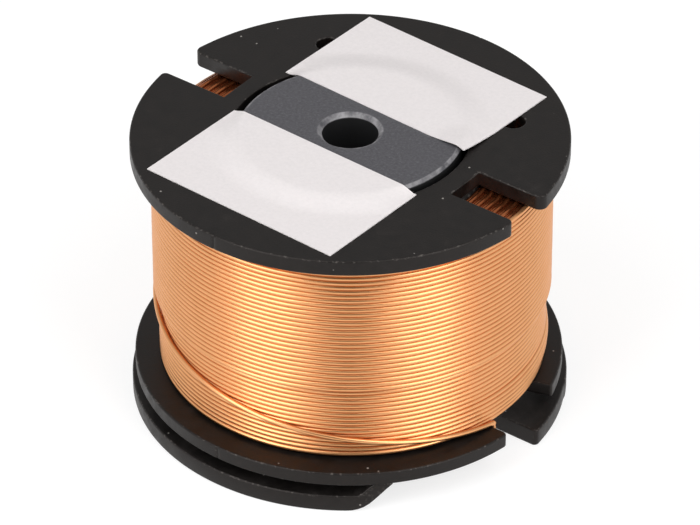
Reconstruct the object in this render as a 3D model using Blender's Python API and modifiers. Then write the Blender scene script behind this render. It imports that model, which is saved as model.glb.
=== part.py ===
"""Ferrite-core inductor on a moulded bobbin.

A round bobbin carries enamelled copper wire in close layers between two flanges, the last
layer only part filled. A ferrite tube stands in its bore. The lower flange is two decks with
a wire slot between them, and two notches through both flanges let the ends of the wire out.

Units are metres, +Z is up, and the origin is the centre of the face that it stands on.
Azimuth 0 is the +X notch. The notches, slots and ramps repeat half a turn later, and the two
small holes in the top flange don't.
"""

import math

import bmesh
import bpy

MM = 0.001

# Ferrite core
CORE_RADIUS = 11.6 * MM
CORE_PROUD = 0.45 * MM
CORE_HOLE_RADIUS = 2.9 * MM
CORE_EDGE_CHAMFER = 0.5 * MM
CORE_HOLE_CHAMFER = 0.4 * MM

# Bobbin, from the bottom up
FLANGE_RADIUS = 22.5 * MM
LOWER_DECK_THICKNESS = 1.9 * MM
SLOT_HEIGHT = 1.25 * MM
UPPER_DECK_THICKNESS = 1.55 * MM
WINDING_WIDTH = 24.65 * MM
TOP_FLANGE_THICKNESS = 1.75 * MM
CORE_CLEARANCE = 0.8 * MM
HUB_WALL = 2.1 * MM
RIM_CHAMFER = 0.2 * MM
BORE_CHAMFER = 0.3 * MM

# Ledge at the foot of the bore, which carries the core
LEDGE_THICKNESS = 1.25 * MM
LEDGE_WIDTH = 2.0 * MM

# Notches through both flanges, down to the hub
NOTCH_WIDTH = 4.8 * MM
NOTCH_CORNER_RADIUS = 0.9 * MM

# Small round holes in the top flange
PIN_HOLE_RADIUS = 1.25 * MM
PIN_HOLE_HUB_GAP = 1.05 * MM
PIN_HOLE_AZIMUTHS = (45.0, 135.0)

# Wire slot between the two decks, and the ramp that closes it. The groove runs round the hub,
# inside the slot's back wall, and the cut-back stops a ledge's width outside that wall
HUB_GROOVE_WIDTH = 2.0 * MM
SLOT_WALL = 1.5 * MM
RAMP_TOP_AZIMUTH = 138.7
RAMP_SLOPE = 45.0
RAMP_WALL = 1.55 * MM
RAMP_TOE_RADIUS = 3.5 * MM
CUTBACK_AZIMUTH = 17.4
CUTBACK_LEDGE = 0.5 * MM

# Winding. The flanges stand out past its last full layer
WIRE_DIAMETER = 0.545 * MM
LAYER_RISE = 0.5 * MM
FLANGE_OVERHANG = 2.4 * MM
TURNS_IN_LAST_LAYER = 29
TURN_GROOVE_DEPTH = 0.2 * MM

# Ends of the wire. The bend is where a lead turns down into a notch or aside under the deck
CROSSING_START_AZIMUTH = -152.0
LEAD_BEND = 1.2 * MM
LEAD_TAIL_BEND = 1.6 * MM
LEAD_TAIL_SWEEP = 26.0
LEAD_POINT_SPACING = 1.3 * MM

# Paper labels, which lie over the edge of the core and dip to the flange
LABEL_LENGTH = 23.6 * MM
LABEL_WIDTH = 13.6 * MM
LABEL_THICKNESS = 0.1 * MM
LABEL_TILT = -2.0
LABEL_REACH = 2.0 * MM
LABEL_CENTRES = {"label_rear": (0.2 * MM, 11.1 * MM), "label_front": (-0.2 * MM, -11.0 * MM)}
LABEL_CELLS = (12, 8)

# Clearance between a seated piece and its seat, and between the leads and what they pass
SEAT_GAP = 0.3 * MM

# Facets round a full circle, and steps along the small arcs
BOBBIN_STEPS = 60
WINDING_STEPS = 40
CORE_STEPS = 48
HOLE_STEPS = 16
CORNER_STEPS = 4
CROSSING_STEPS = 18
TAIL_STEPS = 4

# Sharpest edge that is still shaded as round
SMOOTH_ANGLE = 30.0

# How far a cutter reaches past what it cuts, and how close points of a turned piece are one
CUTTER_REACH = 1.0 * MM
MERGE_DISTANCE = 0.01 * MM

# Heights that follow from the sizes above
SLOT_FLOOR = LOWER_DECK_THICKNESS
SLOT_ROOF = SLOT_FLOOR + SLOT_HEIGHT
LOWER_FLANGE_TOP = SLOT_ROOF + UPPER_DECK_THICKNESS
TOP_FLANGE_UNDERSIDE = LOWER_FLANGE_TOP + WINDING_WIDTH
TOP_FACE = TOP_FLANGE_UNDERSIDE + TOP_FLANGE_THICKNESS
CORE_FOOT = LEDGE_THICKNESS + SEAT_GAP
CORE_TOP = TOP_FACE + CORE_PROUD
WINDING_FOOT = LOWER_FLANGE_TOP + SEAT_GAP
WINDING_TOP = TOP_FLANGE_UNDERSIDE - SEAT_GAP

# Radii that follow
BORE_RADIUS = CORE_RADIUS + CORE_CLEARANCE
HUB_RADIUS = BORE_RADIUS + HUB_WALL
LEDGE_RADIUS = CORE_RADIUS - LEDGE_WIDTH
PIN_HOLE_CIRCLE_RADIUS = HUB_RADIUS + PIN_HOLE_HUB_GAP + PIN_HOLE_RADIUS
SLOT_WALL_RADIUS = HUB_RADIUS + HUB_GROOVE_WIDTH
SLOT_RADIUS = SLOT_WALL_RADIUS + SLOT_WALL
CUTBACK_RADIUS = SLOT_RADIUS + CUTBACK_LEDGE
WIRE_RADIUS = WIRE_DIAMETER / 2

# Full layers that the room between hub and rim takes
LAYER_ROOM = FLANGE_RADIUS - FLANGE_OVERHANG - HUB_RADIUS - WIRE_DIAMETER
FULL_LAYERS = 1 + round(LAYER_ROOM / LAYER_RISE)
FULL_LAYER_RADIUS = HUB_RADIUS + WIRE_DIAMETER + (FULL_LAYERS - 1) * LAYER_RISE

# Turns that the width between the flanges takes
TURNS_PER_LAYER = round(WINDING_WIDTH / WIRE_DIAMETER)
TURN_PITCH = (WINDING_TOP - WINDING_FOOT) / TURNS_PER_LAYER
LAST_LAYER_FOOT = WINDING_TOP - TURNS_IN_LAST_LAYER * TURN_PITCH

# Where the leads run: along one wall of a notch, and then under the middle of the upper deck
LEAD_WALL_Y = -NOTCH_WIDTH / 2 + SEAT_GAP + WIRE_RADIUS
LEAD_TAIL_RADIUS = (SLOT_WALL_RADIUS + FLANGE_RADIUS) / 2
LEAD_TAIL_HEIGHT = SLOT_ROOF - SEAT_GAP - WIRE_RADIUS

HALF_TURNS = (0.0, 180.0)


def clear_scene():
    """Remove every object that the file opened with."""
    for obj in list(bpy.data.objects):
        bpy.data.objects.remove(obj, do_unlink=True)


def new_collection(name):
    collection = bpy.data.collections.new(name)
    bpy.context.scene.collection.children.link(collection)
    return collection


def new_material(name, color, roughness, metallic=0.0):
    material = bpy.data.materials.new(name)
    material.use_nodes = True
    shader = material.node_tree.nodes["Principled BSDF"]
    shader.inputs["Base Color"].default_value = (*color, 1.0)
    shader.inputs["Roughness"].default_value = roughness
    shader.inputs["Metallic"].default_value = metallic
    return material


def add_object(name, data, collection, material=None):
    obj = bpy.data.objects.new(name, data)
    collection.objects.link(obj)
    if material:
        data.materials.append(material)
    return obj


def polar(radius, azimuth, z=0.0):
    """Point at a radius and an azimuth in degrees."""
    angle = math.radians(azimuth)
    return (radius * math.cos(angle), radius * math.sin(angle), z)


def arc_points(centre, radius, start, end, count):
    """Points along a flat arc, angles in degrees."""
    for i in range(count + 1):
        x, y, _ = polar(radius, start + (end - start) * i / count)
        yield (centre[0] + x, centre[1] + y)


def turned(name, profile, steps, collection, material):
    """Turn a closed profile of (radius, height) points, listed down its outer side."""
    mesh = bpy.data.meshes.new(name)
    count = len(profile)
    edges = [(i, (i + 1) % count) for i in range(count)]
    mesh.from_pydata([(r, 0.0, z) for r, z in profile], edges, [])
    obj = add_object(name, mesh, collection, material)
    screw = obj.modifiers.new("turn", "SCREW")
    screw.axis = "Z"
    screw.angle = math.tau
    screw.steps = steps
    screw.render_steps = steps
    screw.use_merge_vertices = True
    screw.merge_threshold = MERGE_DISTANCE
    screw.use_smooth_shade = False
    return obj


def cutter_from_bmesh(bm, name, collection):
    bmesh.ops.recalc_face_normals(bm, faces=bm.faces)
    mesh = bpy.data.meshes.new(name)
    bm.to_mesh(mesh)
    bm.free()
    obj = add_object(name, mesh, collection)
    obj.hide_render = True
    obj.display_type = "WIRE"
    return obj


def prism_cutter(name, outline, bottom, top, collection):
    """Upright prism on a plan outline."""
    bm = bmesh.new()
    face = bm.faces.new([bm.verts.new((x, y, bottom)) for x, y in outline])
    raised = bmesh.ops.extrude_face_region(bm, geom=[face])["geom"]
    bmesh.ops.translate(
        bm, vec=(0.0, 0.0, top - bottom), verts=[v for v in raised if isinstance(v, bmesh.types.BMVert)]
    )
    return cutter_from_bmesh(bm, name, collection)


def wrapped_cutter(name, outline, inner, outer, collection):
    """Prism whose side view, of (azimuth, height) points, is wrapped round the axis."""
    bm = bmesh.new()
    face = bm.faces.new([bm.verts.new((azimuth, inner, z)) for azimuth, z in outline])
    raised = bmesh.ops.extrude_face_region(bm, geom=[face])["geom"]
    bmesh.ops.translate(
        bm, vec=(0.0, outer - inner, 0.0), verts=[v for v in raised if isinstance(v, bmesh.types.BMVert)]
    )
    step = 360.0 / BOBBIN_STEPS
    first = math.floor(min(azimuth for azimuth, _ in outline) / step) + 1
    last = math.ceil(max(azimuth for azimuth, _ in outline) / step)
    for i in range(first, last):
        geometry = bm.verts[:] + bm.edges[:] + bm.faces[:]
        bmesh.ops.bisect_plane(bm, geom=geometry, plane_co=(i * step, 0.0, 0.0), plane_no=(1.0, 0.0, 0.0))
    for vert in bm.verts:
        vert.co = polar(vert.co.y, vert.co.x, vert.co.z)
    bmesh.ops.triangulate(bm, faces=bm.faces)
    return cutter_from_bmesh(bm, name, collection)


def shade_round(obj):
    """Settle an object's modifiers into its mesh, and shade it smooth up to its sharp edges."""
    evaluated = obj.evaluated_get(bpy.context.evaluated_depsgraph_get())
    mesh = bpy.data.meshes.new_from_object(evaluated)
    obj.modifiers.clear()
    obj.data = mesh
    mesh.shade_smooth()
    mesh.set_sharp_from_angle(angle=math.radians(SMOOTH_ANGLE))


def cut(target, cutter):
    boolean = target.modifiers.new(cutter.name, "BOOLEAN")
    boolean.operation = "DIFFERENCE"
    boolean.solver = "EXACT"
    boolean.object = cutter


def bobbin_profile():
    """Hub, top flange, lower flange before its slot is cut, and the ledge for the core."""
    rim = FLANGE_RADIUS
    edge = RIM_CHAMFER
    return [
        (BORE_RADIUS + BORE_CHAMFER, TOP_FACE),
        (rim - edge, TOP_FACE),
        (rim, TOP_FACE - edge),
        (rim, TOP_FLANGE_UNDERSIDE + edge),
        (rim - edge, TOP_FLANGE_UNDERSIDE),
        (HUB_RADIUS, TOP_FLANGE_UNDERSIDE),
        (HUB_RADIUS, LOWER_FLANGE_TOP),
        (rim - edge, LOWER_FLANGE_TOP),
        (rim, LOWER_FLANGE_TOP - edge),
        (rim, edge),
        (rim - edge, 0.0),
        (SLOT_WALL_RADIUS, 0.0),
        (SLOT_WALL_RADIUS, SLOT_ROOF),
        (HUB_RADIUS, SLOT_ROOF),
        (HUB_RADIUS, 0.0),
        (LEDGE_RADIUS, 0.0),
        (LEDGE_RADIUS, LEDGE_THICKNESS),
        (BORE_RADIUS, LEDGE_THICKNESS),
        (BORE_RADIUS, TOP_FACE - BORE_CHAMFER),
    ]


def notch_outline(side):
    """Plan of one notch: flat at the hub, with rounded corners where it meets the rim."""
    half = NOTCH_WIDTH / 2
    corner = NOTCH_CORNER_RADIUS
    rise = half + corner
    centre_x = math.sqrt((FLANGE_RADIUS - corner) ** 2 - rise**2)
    rim_angle = math.degrees(math.atan2(rise, centre_x))
    mouth = list(arc_points((centre_x, rise), corner, -90.0, rim_angle, CORNER_STEPS))
    reach = FLANGE_RADIUS + CUTTER_REACH
    mouth.append(polar(reach, rim_angle)[:2])
    upper = [(HUB_RADIUS, half)] + mouth
    outline = upper + [(reach, 0.0)] + [(x, -y) for x, y in reversed(upper)]
    turn = math.radians(side)
    return [
        (x * math.cos(turn) - y * math.sin(turn), x * math.sin(turn) + y * math.cos(turn))
        for x, y in outline
    ]


def arc_degrees(length):
    """Azimuth that an arc length takes at the rim."""
    return math.degrees(length / FLANGE_RADIUS)


def ramp_run(height):
    """Azimuth that the ramp takes to climb a height."""
    return arc_degrees(height / math.tan(math.radians(RAMP_SLOPE)))


def recess_outline(side):
    """Side view of the space under the upper deck, from the ramp's toe to the next notch."""
    toe_run = RAMP_TOE_RADIUS * math.tan(math.radians(RAMP_SLOPE / 2))
    toe_start = RAMP_TOP_AZIMUTH - ramp_run(SLOT_ROOF) - arc_degrees(toe_run)
    outline = [(180.0, SLOT_ROOF), (180.0, -CUTTER_REACH), (toe_start, -CUTTER_REACH), (toe_start, 0.0)]
    for i in range(1, CORNER_STEPS + 1):
        angle = math.radians(RAMP_SLOPE * i / CORNER_STEPS)
        run = RAMP_TOE_RADIUS * math.sin(angle)
        rise = RAMP_TOE_RADIUS * (1 - math.cos(angle))
        outline.append((toe_start + arc_degrees(run), rise))
    outline.append((RAMP_TOP_AZIMUTH, SLOT_ROOF))
    return [(azimuth + side, z) for azimuth, z in outline]


def slot_outline(side):
    """Side view of the wire slot: open at the notch, closed by the inside of the ramp."""
    wall_run = arc_degrees(RAMP_WALL / math.sin(math.radians(RAMP_SLOPE)))
    roof_end = RAMP_TOP_AZIMUTH - wall_run
    floor_end = roof_end - ramp_run(SLOT_HEIGHT)
    outline = [(0.0, SLOT_FLOOR), (floor_end, SLOT_FLOOR), (roof_end, SLOT_ROOF), (0.0, SLOT_ROOF)]
    return [(azimuth + side, z) for azimuth, z in outline]


def cutback_outline(side):
    """Side view of the step in the upper deck that lets the wire into the slot."""
    middle = (SLOT_FLOOR + SLOT_ROOF) / 2
    top = LOWER_FLANGE_TOP + CUTTER_REACH
    outline = [(0.0, middle), (CUTBACK_AZIMUTH, middle), (CUTBACK_AZIMUTH, top), (0.0, top)]
    return [(azimuth + side, z) for azimuth, z in outline]


def build_bobbin(parts, cutters, material):
    bobbin = turned("bobbin", bobbin_profile(), BOBBIN_STEPS, parts, material)
    reach = FLANGE_RADIUS + CUTTER_REACH
    groove_middle = (HUB_RADIUS + SLOT_WALL_RADIUS) / 2
    for index, side in enumerate(HALF_TURNS):
        tag = f"{index + 1}"
        cut(bobbin, wrapped_cutter("recess_" + tag, recess_outline(side), groove_middle, reach, cutters))
        cut(bobbin, wrapped_cutter("slot_" + tag, slot_outline(side), SLOT_RADIUS, reach, cutters))
        cut(bobbin, wrapped_cutter("cutback_" + tag, cutback_outline(side), CUTBACK_RADIUS, reach, cutters))
        outline = notch_outline(side)
        cut(bobbin, prism_cutter("notch_" + tag, outline, -CUTTER_REACH, TOP_FACE + CUTTER_REACH, cutters))
    for index, azimuth in enumerate(PIN_HOLE_AZIMUTHS):
        centre = polar(PIN_HOLE_CIRCLE_RADIUS, azimuth)
        outline = list(arc_points(centre, PIN_HOLE_RADIUS, 0.0, 360.0, HOLE_STEPS))[:-1]
        bottom = TOP_FLANGE_UNDERSIDE - CUTTER_REACH
        cut(bobbin, prism_cutter(f"hole_{index + 1}", outline, bottom, TOP_FACE + CUTTER_REACH, cutters))
    shade_round(bobbin)


def build_core(parts, material):
    edge = CORE_EDGE_CHAMFER
    lip = CORE_HOLE_CHAMFER
    profile = [
        (CORE_RADIUS - edge, CORE_TOP),
        (CORE_RADIUS, CORE_TOP - edge),
        (CORE_RADIUS, CORE_FOOT + edge),
        (CORE_RADIUS - edge, CORE_FOOT),
        (CORE_HOLE_RADIUS + lip, CORE_FOOT),
        (CORE_HOLE_RADIUS, CORE_FOOT + lip),
        (CORE_HOLE_RADIUS, CORE_TOP - lip),
        (CORE_HOLE_RADIUS + lip, CORE_TOP),
    ]
    shade_round(turned("ferrite_core", profile, CORE_STEPS, parts, material))


def winding_profile():
    """Turns of the last, part-filled layer, then those of the full layer below it."""
    crest = FULL_LAYER_RADIUS + LAYER_RISE
    points = [(crest - TURN_GROOVE_DEPTH, WINDING_TOP)]
    for turn in range(TURNS_PER_LAYER):
        turn_top = WINDING_TOP - turn * TURN_PITCH
        if turn == TURNS_IN_LAST_LAYER:
            crest = FULL_LAYER_RADIUS
            points.append((crest - TURN_GROOVE_DEPTH, turn_top))
        points.append((crest, turn_top - TURN_PITCH / 2))
        points.append((crest - TURN_GROOVE_DEPTH, turn_top - TURN_PITCH))
    inside = HUB_RADIUS + SEAT_GAP
    points.append((inside, WINDING_FOOT))
    points.append((inside, WINDING_TOP))
    return points


def smooth_route(knots, spacing):
    """Points at an even spacing on a smooth curve through the knots."""
    route = []
    padded = [knots[0]] + list(knots) + [knots[-1]]
    for a, b, c, d in zip(padded, padded[1:], padded[2:], padded[3:]):
        pieces = max(1, round(math.dist(b, c) / spacing))
        for i in range(pieces):
            t = i / pieces
            route.append(
                tuple(
                    0.5 * (2 * q + (r - p) * t + (2 * p - 5 * q + 4 * r - s) * t**2
                           + (3 * q - p - 3 * r + s) * t**3)
                    for p, q, r, s in zip(a, b, c, d)
                )
            )
    route.append(tuple(knots[-1]))
    return route


def wire_object(name, knots, parts, material):
    curve = bpy.data.curves.new(name, "CURVE")
    curve.dimensions = "3D"
    curve.bevel_depth = WIRE_RADIUS
    curve.bevel_resolution = 2
    curve.use_fill_caps = True
    route = smooth_route(knots, LEAD_POINT_SPACING)
    spline = curve.splines.new("POLY")
    spline.points.add(len(route) - 1)
    for point, place in zip(spline.points, route):
        point.co = (*place, 1.0)
    return add_object(name, curve, parts, material)


def lead_exit(x):
    """Knots down the wall of the +X notch at a distance x out, then along under the deck."""
    aside = math.copysign(WIRE_DIAMETER, LEAD_TAIL_RADIUS - x)
    knots = [
        (x, LEAD_WALL_Y, LOWER_FLANGE_TOP),
        (x, LEAD_WALL_Y, (LOWER_FLANGE_TOP + SLOT_ROOF) / 2),
        (x + aside, LEAD_WALL_Y, LEAD_TAIL_HEIGHT),
    ]
    first = math.degrees(math.asin(LEAD_WALL_Y / LEAD_TAIL_RADIUS)) - arc_degrees(LEAD_TAIL_BEND)
    for i in range(TAIL_STEPS + 1):
        azimuth = first - LEAD_TAIL_SWEEP * i / TAIL_STEPS
        knots.append(polar(LEAD_TAIL_RADIUS, azimuth, LEAD_TAIL_HEIGHT))
    return knots


def half_turned(points):
    """Points carried half a turn round the axis."""
    return [(-x, -y, z) for x, y, z in points]


def finish_lead_knots():
    """From the foot of the last layer, aslant over the turns below, and out of the +X notch."""
    ride = FULL_LAYER_RADIUS + SEAT_GAP + WIRE_RADIUS
    start_height = LAST_LAYER_FOOT - SEAT_GAP - WIRE_RADIUS
    end_height = LOWER_FLANGE_TOP + SEAT_GAP + WIRE_RADIUS
    end_azimuth = math.degrees(math.asin((LEAD_WALL_Y - LEAD_BEND) / ride))
    knots = []
    for i in range(CROSSING_STEPS + 1):
        share = i / CROSSING_STEPS
        azimuth = CROSSING_START_AZIMUTH + (end_azimuth - CROSSING_START_AZIMUTH) * share
        knots.append(polar(ride, azimuth, start_height + (end_height - start_height) * share))
    return knots + lead_exit(math.sqrt(ride**2 - LEAD_WALL_Y**2))


def start_lead_knots():
    """From the innermost layer, down the hub in the -X notch, and out under the deck."""
    return half_turned(lead_exit(HUB_RADIUS + SEAT_GAP + WIRE_RADIUS))


def build_winding(parts, material):
    shade_round(turned("winding", winding_profile(), WINDING_STEPS, parts, material))
    wire_object("finish_lead", finish_lead_knots(), parts, material)
    wire_object("start_lead", start_lead_knots(), parts, material)


def label_height(x, y):
    """Underside of a label: on the core's top, then down to the flange."""
    past_core = math.hypot(x, y) - CORE_RADIUS
    share = min(max(past_core / LABEL_REACH, 0.0), 1.0)
    return CORE_TOP + SEAT_GAP - share * (CORE_TOP - TOP_FACE)


def build_label(name, centre, parts, material):
    """Thin sheet with its corners square, laid over the step between core and flange."""
    bm = bmesh.new()
    bmesh.ops.create_grid(bm, x_segments=LABEL_CELLS[0], y_segments=LABEL_CELLS[1], size=0.5)
    tilt = math.radians(LABEL_TILT)
    for vert in bm.verts:
        u, v = vert.co.x * LABEL_LENGTH, vert.co.y * LABEL_WIDTH
        x = centre[0] + u * math.cos(tilt) - v * math.sin(tilt)
        y = centre[1] + u * math.sin(tilt) + v * math.cos(tilt)
        vert.co = (x, y, label_height(x, y))
    bmesh.ops.triangulate(bm, faces=bm.faces)
    mesh = bpy.data.meshes.new(name)
    bm.to_mesh(mesh)
    bm.free()
    label = add_object(name, mesh, parts, material)
    sheet = label.modifiers.new("paper", "SOLIDIFY")
    sheet.thickness = LABEL_THICKNESS
    sheet.offset = 1.0


def main():
    clear_scene()
    parts = new_collection("inductor")
    cutters = new_collection("cutters")
    black_plastic = new_material("black_plastic", (0.032, 0.031, 0.031), 0.5)
    ferrite = new_material("ferrite", (0.11, 0.11, 0.12), 0.6)
    copper = new_material("enamelled_copper", (0.72, 0.33, 0.14), 0.3, 0.9)
    paper = new_material("label_paper", (0.8, 0.77, 0.77), 0.7)
    build_bobbin(parts, cutters, black_plastic)
    build_core(parts, ferrite)
    build_winding(parts, copper)
    for name, centre in LABEL_CENTRES.items():
        build_label(name, centre, parts, paper)


main()
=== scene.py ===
"""Looks of a ferrite-core inductor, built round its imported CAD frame.

The object's frame is the CAD one: metres, +Z up, the origin at the centre of the face that it
stands on, and azimuth 0 at the +X notch. Sizes that the frame holds are read from it.
"""

import math

import bmesh
import bpy
import numpy as np
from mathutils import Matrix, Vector, noise
from mathutils.geometry import tessellate_polygon


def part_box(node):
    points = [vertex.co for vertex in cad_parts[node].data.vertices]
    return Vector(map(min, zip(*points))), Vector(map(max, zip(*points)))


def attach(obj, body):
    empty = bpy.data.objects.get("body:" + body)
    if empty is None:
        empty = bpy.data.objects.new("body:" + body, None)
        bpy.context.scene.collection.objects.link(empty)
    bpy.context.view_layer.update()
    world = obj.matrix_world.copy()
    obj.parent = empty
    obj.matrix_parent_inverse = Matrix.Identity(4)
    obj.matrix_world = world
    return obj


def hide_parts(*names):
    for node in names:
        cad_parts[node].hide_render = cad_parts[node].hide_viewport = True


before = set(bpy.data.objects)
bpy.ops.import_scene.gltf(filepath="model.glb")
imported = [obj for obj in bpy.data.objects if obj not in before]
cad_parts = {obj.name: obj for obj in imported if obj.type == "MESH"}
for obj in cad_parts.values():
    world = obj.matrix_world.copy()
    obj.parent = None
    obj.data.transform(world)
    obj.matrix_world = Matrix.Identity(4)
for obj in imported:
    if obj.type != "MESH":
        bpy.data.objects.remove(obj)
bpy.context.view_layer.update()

MM = 0.001

# Sizes that the frame holds. The CAD solids keep this clearance from one another
SEAT_GAP = 0.3 * MM
FLANGE_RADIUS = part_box("bobbin")[1].y
TOP_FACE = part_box("bobbin")[1].z
CORE_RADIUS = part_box("ferrite_core")[1].x
CORE_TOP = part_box("ferrite_core")[1].z
CORE_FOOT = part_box("ferrite_core")[0].z
FLANGE_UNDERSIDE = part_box("winding")[1].z + SEAT_GAP
LOWER_FLANGE_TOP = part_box("winding")[0].z - SEAT_GAP

# Bobbin
BORE_RADIUS = 12.35 * MM
BORE_CENTRE = (-0.1 * MM, 0.0)
HUB_RADIUS = 14.5 * MM
LEDGE_RADIUS = 9.6 * MM
LEDGE_THICKNESS = 1.25 * MM
BOBBIN_EDGE = 0.18 * MM
BORE_EDGE = 0.15 * MM
SLOT_FLOOR = 1.9 * MM
SLOT_ROOF = 3.15 * MM
SLOT_RADIUS = 18.0 * MM
SLOT_WALL_RADIUS = 16.5 * MM
CUTBACK_RADIUS = 18.5 * MM
CUTBACK_AZIMUTHS = {"rear": 17.4, "front": 15.0}
RAMP_TOP_AZIMUTH = 138.7
RAMP_SLOPE = 45.0
RAMP_WALL = 1.55 * MM
RAMP_TOE_RADIUS = 3.5 * MM
NOTCH_HALF_WIDTH = 2.4 * MM
NOTCH_CORNERS = {"rear": 0.9 * MM, "front": 0.6 * MM}
LOWER_NOTCH_NEAR = 2.2 * MM
LOWER_NOTCH_FAR = 2.75 * MM
LOWER_CORNER_RADIUS = 0.5 * MM
LOWER_CORNER_POWER = 4
DECK_END_ARC = 1.5
STEP_CORNER_RADIUS = 2 * BOBBIN_EDGE
CUTBACK_CORNER_RADIUS = 1.5 * BOBBIN_EDGE
PIN_HOLE_RADIUS = 1.25 * MM
PIN_HOLE_CIRCLE_RADIUS = 16.8 * MM
PIN_HOLE_AZIMUTHS = (45.0, 135.0)
PIN_HOLE_STEPS = 48

# Where the ramp runs out, the rounding of its edges takes this share of its thickness
RAMP_EDGE_SHARE = 0.4

# How far the bobbin's shells reach into one another
HUB_INTO_FLANGE = 0.3 * MM
HUB_BEHIND_BORE = 0.15 * MM
DECK_INTO_HUB = 0.5 * MM
WALL_INTO_DECK = 0.16 * MM
RAMP_INTO_DECK = 0.15 * MM

# The moulding isn't quite even: the rear half of the upper deck is smaller, the lower deck swells
# a little past one azimuth, and its front half sits off centre. The rims above it have a slit
UPPER_DECK_RADII = {"rear": 22.1 * MM, "front": FLANGE_RADIUS}
RIM_STEP = 0.1 * MM
RIM_STEP_AZIMUTH = 28.0
RIM_STEP_ARC = 1.2
FRONT_DECK_SHIFT = (-0.2 * MM, -0.15 * MM)
SLIT_AZIMUTH = 90.0
SLIT_HALF_WIDTH = 0.1 * MM
SLIT_DEPTH = 0.08 * MM
SLIT_MARGIN = 1.0

# Core
CORE_HOLE_RADIUS = 2.9 * MM
CORE_CHAMFER = 0.28 * MM
HOLE_CHAMFER = 0.4 * MM
CORE_HOLD = 0.15 * MM
CORE_SHARP_ANGLE = 30.0

# Winding. The layers lie in one another's valleys, so every second one, the last full layer among
# them, starts half a pitch lower and has a turn less
WIRE_RADIUS = 0.2725 * MM
TURNS_PER_LAYER = 45
FULL_LAYERS = 11
TURNS_IN_LAST_LAYER = 29
FULL_LAYER_CENTRE = 19.78 * MM
LAST_LAYER_CENTRE = 20.28 * MM
TURN_PITCH = (FLANGE_UNDERSIDE - LOWER_FLANGE_TOP) / TURNS_PER_LAYER
LAYER_RISE = (FULL_LAYER_CENTRE - HUB_RADIUS - WIRE_RADIUS) / (FULL_LAYERS - 1)
FIRST_TURN_HEIGHT = FLANGE_UNDERSIDE - WIRE_RADIUS
WIRE_SIDES = 16
STEPS_PER_TURN = 180

# Where the last layer starts, in degrees after the first step down, and over how many it climbs
# from the layer below. Of the last full layer, the wire isn't drawn where it is hidden, and it
# stops part of the way through its lowest turn
LAST_LAYER_START = 88.0
LAST_LAYER_CLIMB = 25.0
FULL_LAYER_TURNS_HIDDEN = TURNS_IN_LAST_LAYER - 2
LOWEST_TURN_SHARE = 0.88

# Arcs in degrees that show of the turns at the ends of the layers
FULL_ARC = 80.0
SET_BACK_ARC = 55.0
ARC_STEPS = 5

# The rings that stand for those turns stay this clear of the flanges. Behind the bare lower turns,
# the inner layers' side stands back from the turns' centres and ends short of the flange
RING_CLEARANCE = 0.01 * MM
INNER_SIDE_SET_BACK = 0.1 * MM
INNER_FOOT_CLEARANCE = 0.1 * MM

# The turns run level, and each steps down to the next over one sector, where the coil bulges
STEP_DOWN_AZIMUTH = 80.0
STEP_DOWN_SWEEP = 40.0
BULGE_AZIMUTH = 60.0
BULGE = 0.4 * MM
BULGE_FAR_SIDE = -0.1 * MM

# Each turn wavers by a noise: how much, how fast it changes round the coil and from turn to turn,
# and where in the noise each layer's radius and height are read
TURN_WAVER = 0.012 * MM
WAVER_ROUND = 2
WAVER_PER_TURN = 0.7
LAST_LAYER_SEED = 0
FULL_LAYER_SEED = 50
HEIGHT_SEED = 20

# Some of the bare lower turns stand out on one side of the coil, fading over some turns above
# and below them
LOWER_BULGE = 0.25 * MM
LOWER_BULGE_AZIMUTH = 37.0
LOWER_BULGE_TURNS = (10.5, 14.0)
LOWER_BULGE_FADES = (2, 3)

# The end of the wire: it leaves the last layer, slants down over the turns and turns into a notch
CROSSING_START_AZIMUTH = -165.0
CROSSING_END_AZIMUTH = -7.0
CROSSING_RIDE = FULL_LAYER_CENTRE + 2 * WIRE_RADIUS
CROSSING_KNOTS = 40
LEAD_WALL_GAP = 0.03 * MM
LEAD_WALL_Y = LEAD_WALL_GAP + WIRE_RADIUS - LOWER_NOTCH_FAR
LEAD_TAIL_RADIUS = 19.5 * MM
LEAD_TAIL_SWEEP = 26.0
LEAD_TAIL_KNOTS = 5
LEAD_BEND_LENGTH = 1.6 * MM
LEAD_SPACING = 0.25 * MM
START_LEAD_BEND = 0.3 * MM
START_LEAD_AZIMUTH = 4.0

# Labels
LABEL_WIDTH = 13.58 * MM
LABEL_THICKNESS = 0.1 * MM
LABEL_CELLS = (120, 68)
LABEL_DROP_START = 11.1 * MM
LABEL_DROP_END = 12.7 * MM
LABEL_DROP_SPREAD = 2.3 * MM
LABEL_INNER_EDGE = 4.5 * MM
LABEL_LIFT = 0.02 * MM
LABEL_SHARP_ANGLE = 40.0

# Each label: centre, length, tilt in degrees, and how far its inner +X corner stands up
LABELS = {
    "label_rear": ((0.03 * MM, 11.13 * MM), 23.6 * MM, -2.6, 0.38 * MM),
    "label_front": ((-0.25 * MM, -11.13 * MM), 23.93 * MM, -2.1, 0.0),
}
LABEL_CORNER_SPAN = 5.0 * MM

# Facets round a full circle, and along small round edges
CIRCLE_STEPS = 240
EDGE_STEPS = 4
CORNER_STEPS = 8

# A flat face keeps its flat shading from this far past the rounding of its edge
HOLD = 0.04 * MM

# Turn of an edge, in degrees, at which wear begins and is full
WEAR_ANGLES = (12.0, 20.0)

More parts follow.
